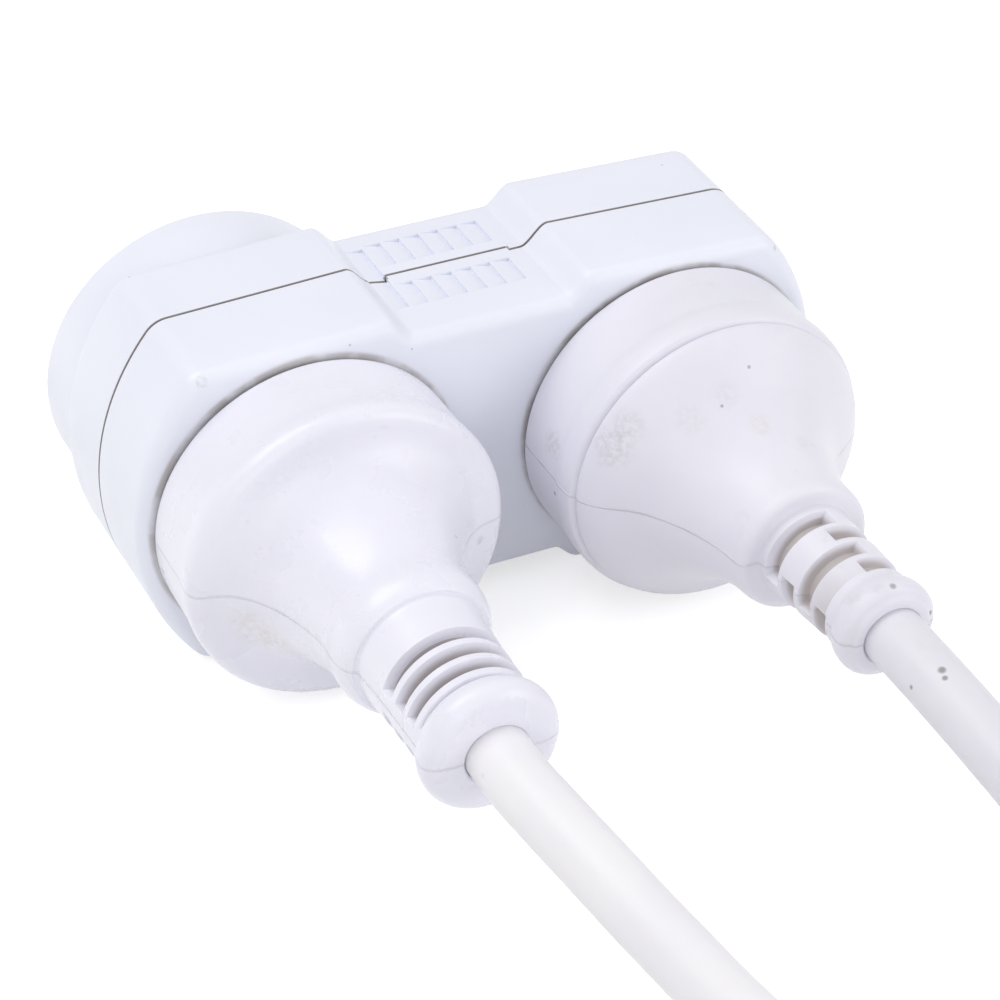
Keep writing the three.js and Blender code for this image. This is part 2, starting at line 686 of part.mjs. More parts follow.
function add(name, solid, look) {
  const mesh = new THREE.Mesh(geometryOf(solid), new THREE.MeshStandardMaterial(look));
  mesh.name = name;
  adapter.add(mesh);
}

add('front_shell', frontShell(), looks.case);
add('rear_shell', rearShell(), looks.case);
add('active_strip', contactStrip(liveBlades[0], liveStripY, activeStripLow), looks.brass);
add('neutral_strip', contactStrip(liveBlades[1], liveStripY, neutralStripLow), looks.brass);
add('earth_strip', contactStrip(earthBlade, earthStripY, earthStripLow), looks.brass);
for (const blade of blades) {
  const stripY = blade === earthBlade ? earthStripY : liveStripY;
  const root = stripY + stripThick + clearance;
  add(`wall_pin_${blade.key}`, bladeSolid(blade, bossX, root, bossFace + blade.length), looks.pin);
}
screwZs.forEach((z, i) => add(`case_screw_${i + 1}`, caseScrew(z), looks.steel));

for (const plug of plugs) {
  const { body, carrier, pins } = plugParts(plug);
  add(`plug_${plug.tag}_body`, body, { ...looks.vinyl, color: plug.colour });
  add(`plug_${plug.tag}_pin_carrier`, carrier, looks.carrier);
  for (const pin of pins) add(`plug_${plug.tag}_pin_${pin.key}`, pin.solid, looks.pin);
}

const leads = [
  {
    tag: 'a', run: runA, centre: coilCentreA, diameter: leadDiameterA, mean: coilMeanTurnsA,
    radius: lastTurnRadiusA,
  },
  {
    tag: 'b', run: runB, centre: coilCentreB, diameter: leadDiameterB, mean: coilMeanTurnsB,
    radius: lastTurnRadiusB,
  },
];
for (const lead of leads) {
  const { tail, connector } = leadEnd(lead.centre, lead.diameter, lead.mean, lead.radius);
  add(`lead_${lead.tag}_run`, tube(lead.run, lead.diameter, 1.8), looks.lead);
  add(`lead_${lead.tag}_coil`, coilRing(lead.centre, lead.diameter, lead.mean), looks.lead);
  add(`lead_${lead.tag}_tail`, tail, looks.lead);
  add(`lead_${lead.tag}_connector`, connector, looks.vinyl);
}

export default adapter;
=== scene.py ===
"""A double adapter with two moulded plugs and their leads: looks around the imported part. Metres, +Z up."""
import json
import math

import bmesh
import bpy
from mathutils import Matrix, Vector

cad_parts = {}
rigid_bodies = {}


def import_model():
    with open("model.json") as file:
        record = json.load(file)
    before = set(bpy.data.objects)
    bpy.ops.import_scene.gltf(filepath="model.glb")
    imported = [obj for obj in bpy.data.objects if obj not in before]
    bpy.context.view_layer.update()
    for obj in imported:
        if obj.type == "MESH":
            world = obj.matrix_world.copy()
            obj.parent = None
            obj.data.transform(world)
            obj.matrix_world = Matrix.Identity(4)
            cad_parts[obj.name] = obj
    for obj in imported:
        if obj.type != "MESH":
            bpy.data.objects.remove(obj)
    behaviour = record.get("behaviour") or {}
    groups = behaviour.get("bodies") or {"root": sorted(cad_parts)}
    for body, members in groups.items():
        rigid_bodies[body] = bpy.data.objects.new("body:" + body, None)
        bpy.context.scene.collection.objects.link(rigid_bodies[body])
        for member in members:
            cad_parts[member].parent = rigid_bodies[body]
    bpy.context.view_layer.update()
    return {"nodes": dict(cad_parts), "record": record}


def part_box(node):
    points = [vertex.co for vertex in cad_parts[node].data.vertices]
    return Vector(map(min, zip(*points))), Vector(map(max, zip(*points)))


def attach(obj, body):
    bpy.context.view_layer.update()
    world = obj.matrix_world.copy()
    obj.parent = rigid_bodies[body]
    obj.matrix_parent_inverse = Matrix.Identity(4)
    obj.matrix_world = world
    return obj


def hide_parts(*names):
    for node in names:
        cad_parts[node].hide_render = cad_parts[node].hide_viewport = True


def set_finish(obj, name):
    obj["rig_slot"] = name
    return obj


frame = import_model()

MM = 0.001

# Places read from the frame, in millimetres
case_low, case_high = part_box("front_shell")
boss_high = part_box("rear_shell")[1]
SOCKET_FACE = case_low.y / MM
CASE_BOTTOM = case_low.z / MM
BOSS_FACE = boss_high.y / MM

# Driving sizes of the case, in millimetres
SOCKET_PITCH = 46.0
AXIS_HEIGHT = CASE_BOTTOM + 20.15
LOBE_TOP = 20.45
TOP_FALL = math.radians(2.1)
WAIST_HALF = 17.95
SHOULDER_FOOT = 9.4
SHOULDER_RUN = 3.4
END_RADIUS = 30.1
END_INSET = 9.95
CORNER_RADIUS = 3.2
FRONT_DEPTH = 12.45
REAR_DEPTH = 10.5
JOINT_GAP = 0.36
CLEARANCE = 0.3
FRONT_EDGE = 1.7
REAR_EDGE = 1.1
WALL = 2.2
REAR_WALL = 1.9
LIP_INSET = 2.5
LIP_LENGTH = 1.8
LIP_WALL = 1.2
LIP_ROOT = 0.4
BOSS_RADIUS = 19.35
BOSS_EDGE = 0.5
BOSS_SIDES = 128
JOINT = SOCKET_FACE + FRONT_DEPTH
SOCKET_XS = (-SOCKET_PITCH / 2, SOCKET_PITCH / 2)

# Grip teeth and the tongue across the waist
TOOTH_PITCH = 2.46
TOOTH_COUNT = 7
TOOTH_START = -7.6
TOOTH_RUN = 2.3
TOOTH_DEPTH = 0.42
TOOTH_LENGTH = 4.8
REAR_TOOTH_END = 7.3
FRONT_TOOTH_END = -1.5
LONG_TOOTH = (-6.3, 6.8)
TONGUE_REACH = 0.62
TONGUE = (-7.4, 7.9)

# Blades of the outlet side
BLADE_WIDE = 6.4
BLADE_THICK = 1.6
BLADES = ((-6.86, 0.6, -30), (6.86, 0.6, 30), (0, -9.7, 0))
SCREW_HEIGHT = 11.6
SCREW_COUNTERBORE = 2.65
SCREW_DEPTH = 1.7

# Leads
LEAD_A = 7.2
LEAD_B = 7.0
PLUG_LENGTH = 48.6
CORD_RECESS = 4.0
TURN_SPACE = 0.1

# Camera and image
IMAGE = 1000
SENSOR = 36.0


# Camera, from outlines of the photograph
def make_camera():
    azimuth = math.radians(-27.576)
    elevation = math.radians(36.454)
    roll = math.radians(2.197)
    distance = 392.33
    focal_pixels = 3324.7
    aim_right = 6.686
    aim_up = -12.645
    across = math.cos(elevation)
    back = Vector((math.sin(azimuth) * across, -math.cos(azimuth) * across, math.sin(elevation)))
    level = Vector((math.cos(azimuth), math.sin(azimuth), 0))
    up = back.cross(level)
    right = math.cos(roll) * level + math.sin(roll) * up
    top = -math.sin(roll) * level + math.cos(roll) * up
    centre = Vector((0, JOINT, AXIS_HEIGHT))
    place = centre + right * aim_right + top * aim_up + back * distance
    data = bpy.data.cameras.new("camera")
    data.sensor_width = SENSOR
    data.lens = SENSOR * focal_pixels / IMAGE
    data.clip_start = 0.01
    data.clip_end = 50
    camera = bpy.data.objects.new("camera", data)
    camera.matrix_world = Matrix.Translation(place * MM) @ Matrix((right, top, back)).transposed().to_4x4()
    bpy.context.scene.collection.objects.link(camera)
    bpy.context.scene.camera = camera


make_camera()


# Mesh helpers: points are in millimetres
def mesh_object(name, points, faces, smooth=30):
    mesh = bpy.data.meshes.new(name)
    mesh.from_pydata([Vector(p) * MM for p in points], [], faces)
    mesh.update()
    work = bmesh.new()
    work.from_mesh(mesh)
    bmesh.ops.recalc_face_normals(work, faces=work.faces)
    work.to_mesh(mesh)
    work.free()
    obj = bpy.data.objects.new(name, mesh)
    bpy.context.scene.collection.objects.link(obj)
    if smooth:
        mesh.shade_smooth()
        mesh.set_sharp_from_angle(angle=math.radians(smooth))
    return obj


def skin(name, rings, smooth=30, capped=True):
    """Rings of equal count, joined into a closed skin with flat ends."""
    count = len(rings[0])
    points = [p for ring in rings for p in ring]
    faces = []
    for r in range(len(rings) - 1):
        for i in range(count):
            j = (i + 1) % count
            faces.append((r * count + i, r * count + j, (r + 1) * count + j, (r + 1) * count + i))
    if capped:
        faces.append(tuple(range(count)))
        faces.append(tuple(range((len(rings) - 1) * count, len(rings) * count)))
    return mesh_object(name, points, faces, smooth)


def box_object(name, low, high):
    corners = [(x, y, z) for x in (low[0], high[0]) for y in (low[1], high[1]) for z in (low[2], high[2])]
    faces = [(0, 1, 3, 2), (4, 6, 7, 5), (0, 4, 5, 1), (2, 3, 7, 6), (0, 2, 6, 4), (1, 5, 7, 3)]
    return mesh_object(name, corners, faces, smooth=0)


def disc_ring(centre, radius, y, count):
    turn = 2 * math.pi / count
    return [(centre[0] + radius * math.cos(i * turn), y, centre[1] + radius * math.sin(i * turn))
            for i in range(count)]


def combine(base, cutter, operation="DIFFERENCE"):
    """Joins or cuts a solid with another one, which is then deleted."""
    modifier = base.modifiers.new("combine", "BOOLEAN")
    modifier.object = cutter
    modifier.operation = operation
    modifier.solver = "EXACT"
    depsgraph = bpy.context.evaluated_depsgraph_get()
    result = bpy.data.meshes.new_from_object(base.evaluated_get(depsgraph))
    base.modifiers.clear()
    base.data = result
    bpy.data.objects.remove(cutter)
    return base


def join(objects):
    """One object from several loose solids, for a single cut."""
    first, rest = objects[0], objects[1:]
    with bpy.context.temp_override(active_object=first, selected_editable_objects=[first, *rest]):
        bpy.ops.object.join()
    return first


def smooth_again(obj, angle=30):
    obj.data.shade_smooth()
    obj.data.set_sharp_from_angle(angle=math.radians(angle))


def ease(t):
    t = min(max(t, 0.0), 1.0)
    return t * t * (3 - 2 * t)


# Smooth lines through chosen points
def spline(points, step):
    """Points about step apart on a smooth line through the given ones."""
    points = [Vector(p) for p in points]
    padded = [2 * points[0] - points[1], *points, 2 * points[-1] - points[-2]]
    out = []
    for i in range(1, len(padded) - 2):
        p0, p1, p2, p3 = padded[i - 1:i + 3]
        pieces = max(1, round((p2 - p1).length / step))
        for k in range(pieces):
            t = k / pieces
            out.append(0.5 * (2 * p1 + (p2 - p0) * t + (2 * p0 - 5 * p1 + 4 * p2 - p3) * t * t
                              + (3 * p1 - p0 - 3 * p2 + p3) * t ** 3))
    out.append(points[-1])
    return out


def tube(name, path, radius, sides=32):
    """A closed round tube along a path, with rounded ends drawn in."""
    tangents = []
    for i in range(len(path)):
        ahead = path[min(i + 1, len(path) - 1)]
        behind = path[max(i - 1, 0)]
        tangents.append((ahead - behind).normalized())
    side = tangents[0].orthogonal().normalized()
    rings = []
    for i, centre in enumerate(path):
        side = (side - tangents[i] * side.dot(tangents[i])).normalized()
        other = tangents[i].cross(side)
        here = radius * (0.96 if i in (0, len(path) - 1) else 1.0)
        ring = []
        for k in range(sides):
            angle = 2 * math.pi * k / sides
            ring.append(centre + here * (math.cos(angle) * side + math.sin(angle) * other))
        rings.append(ring)
    return skin(name, rings)


# Leads: run, coil and tail
EXIT_Y = SOCKET_FACE - PLUG_LENGTH + CORD_RECESS - CLEARANCE
RUN_A = (
    (-23, EXIT_Y, 20.15), (-22.86, JOINT - 61, 20.15), (-22.7, JOINT - 66, 20.02),
    (-22.0, JOINT - 71, 19.64), (-21.1, JOINT - 76, 19.04), (-20.1, JOINT - 81, 18.26),
    (-19, JOINT - 86, 17.31), (-17.7, JOINT - 91, 16.24), (-16, JOINT - 97, 14.8),
    (-13.9, JOINT - 103, 13.2), (-11.2, JOINT - 109, 11.5), (-7.8, JOINT - 115, 9.8),
    (-3.6, JOINT - 121.5, 8.1), (1.4, JOINT - 128, 6.6), (7, JOINT - 134.5, 5.3),
    (13, JOINT - 141, 4.4), (19, JOINT - 148, 3.9), (24.6, JOINT - 155.5, 3.7),
    (29.4, JOINT - 163.5, 3.6), (33, JOINT - 172, 3.6), (35.1, JOINT - 181, 3.6),
    (35.75, JOINT - 191, 3.6), (35.85, JOINT - 200, 3.6), (35.85, JOINT - 208, 3.6),
)
RUN_B = (
    (24.5, EXIT_Y, 20.15), (24.6, JOINT - 61, 20.15), (24.75, JOINT - 66, 20.02),
    (25, JOINT - 71, 19.64), (25.35, JOINT - 76, 19.04), (25.75, JOINT - 81, 18.26),
    (26.25, JOINT - 86, 17.31), (26.9, JOINT - 92, 16), (27.7, JOINT - 99, 14.3),
    (28.8, JOINT - 107, 12.2), (30.2, JOINT - 115, 10), (31.9, JOINT - 123, 7.9),
    (33.9, JOINT - 131, 6.1), (36, JOINT - 139, 4.8), (38.1, JOINT - 147, 4),
    (40, JOINT - 155.5, 3.6), (41.6, JOINT - 164.5, 3.5), (42.8, JOINT - 175, 3.5),
    (43.4, JOINT - 187, 3.5), (43.45, JOINT - 200, 3.5), (43.45, JOINT - 214, 3.5),
    (43.45, JOINT - 228, 3.5), (43.45, JOINT - 242, 3.5), (43.45, JOINT - 256, 3.5),
    (43.45, JOINT - 268, 3.5), (43.45, JOINT - 280, 3.5), (43.45, JOINT - 292, 3.5),
    (43.45, JOINT - 304.5, 3.5),
)
COIL_A = (-4.0, JOINT - 208)
COIL_B = (4.7, JOINT - 304.5)
COIL_MEAN_A = 36.2
COIL_MEAN_B = 35.2
TURNS = 7
TURN_BLEND = 0.25
TURN_STEPS = 48
RUN_STEP = 2.2
LAYERS = 4
LAST_RADIUS_A = 29.2
LAST_RADIUS_B = 28.3
LAST_SHIFT = 10.0
TAIL_STRAIGHT = 6.0
CONNECTOR_HALF = 10.0
# Track from the middle of the ring, and layer, of each turn; the last turn of all lies on the coil
TURN_ORDER = ((0.5, 0), (-0.5, 0), (-0.5, 1), (0.5, 1), (0.5, 2), (-0.5, 2), (0, 3), (0, 4))


def coil_points(centre, mean, diameter):
    """Turns beside and on each other, clockwise, each easing into the next over its last quarter."""
    pitch = diameter + TURN_SPACE
    points = []
    for k in range(1, TURNS * TURN_STEPS):
        turn = k / TURN_STEPS
        here = int(turn)
        blend = ease((turn - here - 1 + TURN_BLEND) / TURN_BLEND)
        track = TURN_ORDER[here][0] * (1 - blend) + TURN_ORDER[here + 1][0] * blend
        layer = TURN_ORDER[here][1] * (1 - blend) + TURN_ORDER[here + 1][1] * blend
        angle = -2 * math.pi * turn
        radius = mean + track * pitch
        x = centre[0] + radius * math.cos(angle)
        y = centre[1] + radius * math.sin(angle)
        points.append(Vector((x, y, diameter / 2 + layer * pitch)))
    return points


def tail_points(centre, mean, diameter, radius):
    """The last half turn on the coil, drawn in and rising into the connector that rests there."""
    pitch = diameter + TURN_SPACE
    coil_top = (LAYERS - 1) * pitch + diameter
    low = diameter / 2 + LAYERS * pitch
    axis = coil_top + CLEARANCE + CONNECTOR_HALF
    steps = 16
    points = []
    for i in range(steps):
        angle = math.pi / 2 * i / steps
        x = centre[0] + mean * math.cos(angle)
        y = centre[1] - (radius + LAST_SHIFT) * math.sin(angle)
        points.append(Vector((x, y, low)))
    for i in range(steps + 1):
        angle = math.pi / 2 * i / steps
        x = centre[0] - radius * math.sin(angle)
        y = centre[1] - LAST_SHIFT - radius * math.cos(angle)
        points.append(Vector((x, y, low + (axis - low) * ease(i / steps))))
    points.append(Vector((centre[0] - radius, centre[1] - LAST_SHIFT + TAIL_STRAIGHT, axis)))
    return points


def make_lead(tag, run, centre, mean, diameter, last_radius):
    coil = coil_points(centre, mean, diameter)
    tail = tail_points(centre, mean, diameter, last_radius)
    path = [*spline(run, RUN_STEP), *coil, *tail]
    obj = tube(f"lead_{tag}", path, diameter / 2)
    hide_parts(f"lead_{tag}_run", f"lead_{tag}_coil", f"lead_{tag}_tail")
    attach(obj, "root")
    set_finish(obj, f"lead_{tag}_vinyl")
    return obj


lead_a = make_lead("a", RUN_A, COIL_A, COIL_MEAN_A, LEAD_A, LAST_RADIUS_A)
lead_b = make_lead("b", RUN_B, COIL_B, COIL_MEAN_B, LEAD_B, LAST_RADIUS_B)


# Case outline, drawn smaller all round by inset
def quarter_outline(inset, top, fall):
    points = []
    rise = top - WAIST_HALF
    shift = inset * math.tan(math.atan2(rise, SHOULDER_RUN) / 2)
    steps = 14
    for i in range(steps + 1):
        t = i / steps
        points.append((SHOULDER_FOOT + shift + SHOULDER_RUN * t, WAIST_HALF - inset + rise * ease(t)))
    arc_centre = SOCKET_PITCH / 2 - END_INSET
    arc = END_RADIUS - inset
    corner = max(CORNER_RADIUS - inset, 0.5)
    slope = math.tan(fall)
    cx, cz = arc_centre + arc / 2, 0.0
    for _ in range(8):
        top_here = top - (cx - SHOULDER_FOOT - SHOULDER_RUN) * slope
        cz = top_here - (inset + corner) / math.cos(fall)
        cx = arc_centre + math.sqrt((arc - corner) ** 2 - cz ** 2)
    upper = math.pi / 2 - fall
    lower = math.atan2(cz, cx - arc_centre)
    steps = 10
    for i in range(steps + 1):
        angle = upper + (lower - upper) * i / steps
        points.append((cx + corner * math.cos(angle), cz + corner * math.sin(angle)))
    steps = 20
    for i in range(1, steps + 1):
        angle = lower * (1 - i / steps)
        points.append((arc_centre + arc * math.cos(angle), arc * math.sin(angle)))
    return points


def case_ring(inset, y):
    top = quarter_outline(inset, LOBE_TOP, TOP_FALL)
    foot = quarter_outline(inset, AXIS_HEIGHT - CASE_BOTTOM, 0)
    ring = [*top]
    ring += [(x, -z) for x, z in reversed(foot[:-1])]
    ring += [(-x, -z) for x, z in foot]
    ring += [(-x, z) for x, z in reversed(top[:-1])]
    return [(x, y, z + AXIS_HEIGHT) for x, z in ring]


def rounded_rings(outer, inner, radius, steps=8):
    way = math.copysign(1, inner - outer)
    rings = []
    for i in range(steps + 1):
        angle = math.pi / 2 * i / steps
        inset = radius * (1 - math.sin(angle))
        rings.append(case_ring(inset, outer + way * radius * (1 - math.cos(angle))))
    span = (inner - outer) - way * radius
    flat_steps = 4
    for i in range(1, flat_steps + 1):
        rings.append(case_ring(0, outer + way * radius + span * i / flat_steps))
    return rings


def grip_tooth(x, y0, y1):
    z = AXIS_HEIGHT + WAIST_HALF
    section = ((x - TOOTH_RUN, z + 0.3), (x - TOOTH_RUN, z), (x, z - TOOTH_DEPTH), (x, z + 0.3))
    return skin("tooth", [[(px, y, pz) for px, pz in section] for y in (JOINT + y0, JOINT + y1)], smooth=0)


def grip_teeth():
    teeth = [grip_tooth(TOOTH_START, *LONG_TOOTH)]
    for i in range(1, TOOTH_COUNT):
        x = TOOTH_START + i * TOOTH_PITCH
        teeth.append(grip_tooth(x, REAR_TOOTH_END - TOOTH_LENGTH, REAR_TOOTH_END))
        teeth.append(grip_tooth(x, FRONT_TOOTH_END - TOOTH_LENGTH, FRONT_TOOTH_END))
    return join(teeth)


def tongue(extra, reach):
    top = AXIS_HEIGHT + WAIST_HALF
    low = (TONGUE[0] - extra, JOINT - JOINT_GAP, top - WALL)
    return box_object("tongue", low, (TONGUE[1] + extra, JOINT + reach, top))


def blade_slot(x, z, lean, y0, y1):
    half_thick = BLADE_THICK / 2 + CLEARANCE
    half_wide = BLADE_WIDE / 2 + CLEARANCE
    slot = box_object("slot", (-half_thick, y0, -half_wide), (half_thick, y1, half_wide))
    turn = Matrix.Rotation(-math.radians(lean), 4, "Y")
    slot.data.transform(Matrix.Translation(Vector((x, 0, AXIS_HEIGHT + z)) * MM) @ turn)
    return slot


def make_front_shell():
    face = JOINT - JOINT_GAP / 2
    shell = skin("front_shell_fine", rounded_rings(SOCKET_FACE, face, FRONT_EDGE))
    combine(shell, skin("hollow", [case_ring(WALL, SOCKET_FACE + WALL), case_ring(WALL, JOINT + 1)]))
    combine(shell, tongue(0, TONGUE_REACH - JOINT_GAP / 2), "UNION")
    combine(shell, grip_teeth())
    slots = [blade_slot(x + bx, bz, lean, SOCKET_FACE - 1, SOCKET_FACE + WALL + 1)
             for x in SOCKET_XS for bx, bz, lean in BLADES]
    combine(shell, join(slots))
    return shell


def make_rear_shell():
    face = JOINT + JOINT_GAP / 2
    back = JOINT + REAR_DEPTH
    shell = skin("rear_shell_fine", list(reversed(rounded_rings(back, face, REAR_EDGE))))
    boss_centre = (SOCKET_XS[0], AXIS_HEIGHT)
    rings = [disc_ring(boss_centre, BOSS_RADIUS, back - 1, BOSS_SIDES)]
    steps = 10
    for i in range(steps + 1):
        angle = math.pi / 2 * i / steps
        radius = BOSS_RADIUS - BOSS_EDGE * (1 - math.cos(angle))
        edge_y = BOSS_FACE - BOSS_EDGE * (1 - math.sin(angle))
        rings.append(disc_ring(boss_centre, radius, edge_y, BOSS_SIDES))
    combine(shell, skin("boss", rings), "UNION")
    wall_face = back - REAR_WALL
    combine(shell, skin("hollow", [case_ring(WALL, JOINT - 1), case_ring(WALL, wall_face)]))
    lip_rings = [case_ring(LIP_INSET, JOINT - LIP_LENGTH), case_ring(LIP_INSET, wall_face + LIP_ROOT)]
    combine(shell, skin("lip", lip_rings), "UNION")
    lip_inner = LIP_INSET + LIP_WALL
    combine(shell, skin("core", [case_ring(lip_inner, JOINT - 3), case_ring(lip_inner, wall_face)]))
    bores = [blade_slot(SOCKET_XS[0] + bx, bz, lean, back, BOSS_FACE + 1) for bx, bz, lean in BLADES]
    for side in (1, -1):
        centre = (0, AXIS_HEIGHT + side * SCREW_HEIGHT)
        ends = (back - SCREW_DEPTH, back + 1)
        bores.append(skin("bore", [disc_ring(centre, SCREW_COUNTERBORE, y, 48) for y in ends]))
    combine(shell, join(bores))
    combine(shell, tongue(CLEARANCE, TONGUE_REACH + JOINT_GAP / 2))
    combine(shell, grip_teeth())
    return shell


for maker, node in ((make_front_shell, "front_shell"), (make_rear_shell, "rear_shell")):
    shell = maker()
    smooth_again(shell)
    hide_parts(node)
    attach(shell, "root")
    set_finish(shell, "case_plastic")


# Moulded plugs: distance out from the socket face, radius
PROFILE_A = (
    (0.4, 18.25), (0.75, 18.55), (5, 18.65), (8, 18.72), (9.6, 18.95), (10.7, 19.0), (11.5, 18.75),
    (12.1, 18.15), (12.4, 17.3), (12.65, 16.2), (13.4, 14.6), (14.9, 12.9), (17.2, 11.35),
    (20, 10.15), (23, 9.3), (25.4, 9.0), (27.2, 9.1), (28.6, 9.05), (29.8, 8.65), (30.5, 8.1),
    (30.7, 7.6), (33, 7.4), (36, 7.2), (42, 7.05), (44.4, 7.05), (44.9, 7.5), (45.6, 7.85),
    (46.6, 7.98), (47.5, 7.7), (48.2, 6.9), (48.5, 5.8), (48.6, 4.6),
)
PROFILE_B = (
    (0.4, 18.5), (0.75, 18.8), (4, 18.82), (8.4, 18.8), (8.9, 18.9), (9.6, 19.0), (11, 18.95),
    (11.9, 18.75), (12.15, 18.35), (12.3, 17.9), (12.5, 18.25), (12.9, 18.3), (13.9, 17.75),
    (15.1, 16.6), (16.3, 15.0), (17.6, 13.3), (19.2, 11.9), (21.2, 10.6), (23.6, 9.5), (26, 8.75),
    (28, 8.35), (30.4, 8.2), (31.1, 7.9), (31.4, 7.3), (31.4, 6.0), (31.7, 5.85), (35, 5.7),
    (40, 5.45), (44.6, 5.3), (45.2, 5.75), (46.2, 6.0), (47.3, 5.95), (47.9, 5.5), (48.1, 5.0),
    (48.5, 4.75), (48.6, 4.5),
)
# Slots in the strain relief: distance out, width, floor radius, middle angle and span in degrees
SLOTS_A = (
    (36.1, 1.5, 4.7, 90, 152), (38.9, 1.35, 4.7, 90, 150), (41.5, 1.2, 4.7, 90, 148),
    (44.0, 0.35, 6.2, 90, 140),
)
SLOTS_B = (
    (32.6, 1.9, 4.3, 135, 112), (35.5, 1.8, 4.3, 45, 100), (38.4, 1.9, 4.3, 135, 116),
    (41.4, 1.8, 4.3, 45, 100),
)
SLOT_EDGE = 0.22
BEND_START = 18.0
BEND_END = 46.0
AROUND = 192
HOLE_GRIP = 0.05
HOLE_EDGE = 0.25
AXIS_RADIUS = 0.05
PROFILE_STEP = 0.35
RELIEF_STEP = 0.1
RELIEF_MARGIN = 0.6
BASE_EDGE = 0.3
BASE_RING = 9


def slot_depth(slots, out, angle, radius):
    """How far a strain relief slot goes in at this place, with softly rounded edges."""
    depth = 0.0
    for start, width, floor, middle, span in slots:
        across = min(out - start, start + width - out)
        off = min(abs((angle - m + 180) % 360 - 180) for m in (middle, middle + 180))
        along = math.radians(span / 2 - off) * radius
        inside = min(across, along)
        depth = max(depth, (radius - floor) * ease(0.5 + inside / SLOT_EDGE / 2))
    return depth


def make_plug(tag, x, profile, slots, lead, drift):
    stations = [(p.x, p.y) for p in spline([(out, radius, 0) for out, radius in profile], PROFILE_STEP)]
    relief_from = slots[0][0] - RELIEF_MARGIN
    relief_to = slots[-1][0] + slots[-1][1] + RELIEF_MARGIN
    before = [s for s in stations if s[0] <= relief_from]
    after = [s for s in stations if s[0] >= relief_to]
    middle = []
    count = round((relief_to - relief_from) / RELIEF_STEP)
    for i in range(1, count):
        out = relief_from + (relief_to - relief_from) * i / count
        for (o0, r0), (o1, r1) in zip(profile, profile[1:]):
            if o0 <= out <= o1 and o1 > o0:
                middle.append((out, r0 + (r1 - r0) * (out - o0) / (o1 - o0)))
                break
    hole = lead / 2 - HOLE_GRIP
    base, base_radius = profile[0]
    stations = [
        (base, AXIS_RADIUS), (base, BASE_RING), (base, base_radius - BASE_EDGE), *before, *middle, *after,
        (PLUG_LENGTH - 0.02, hole + HOLE_EDGE), (PLUG_LENGTH - HOLE_EDGE, hole),
        (PLUG_LENGTH - CORD_RECESS, hole), (PLUG_LENGTH - CORD_RECESS, AXIS_RADIUS),
    ]
    rings = []
    for out, radius in stations:
        shift = drift * ease((out - BEND_START) / (BEND_END - BEND_START))
        ring = []
        for i in range(AROUND):
            angle = 360 * i / AROUND
            here = radius
            if relief_from < out < relief_to:
                here -= slot_depth(slots, out, angle, radius)
            turn = math.radians(angle)
            across = x + shift + here * math.cos(turn)
            ring.append((across, SOCKET_FACE - out, AXIS_HEIGHT + here * math.sin(turn)))
        rings.append(ring)
    plug = skin(f"plug_{tag}_fine", rings, smooth=38)
    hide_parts(f"plug_{tag}_body")
    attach(plug, "root")
    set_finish(plug, f"plug_{tag}_vinyl")
    return plug


plug_a = make_plug("a", SOCKET_XS[0], PROFILE_A, SLOTS_A, LEAD_A, 0.0)
plug_b = make_plug("b", SOCKET_XS[1], PROFILE_B, SLOTS_B, LEAD_B, 1.5)


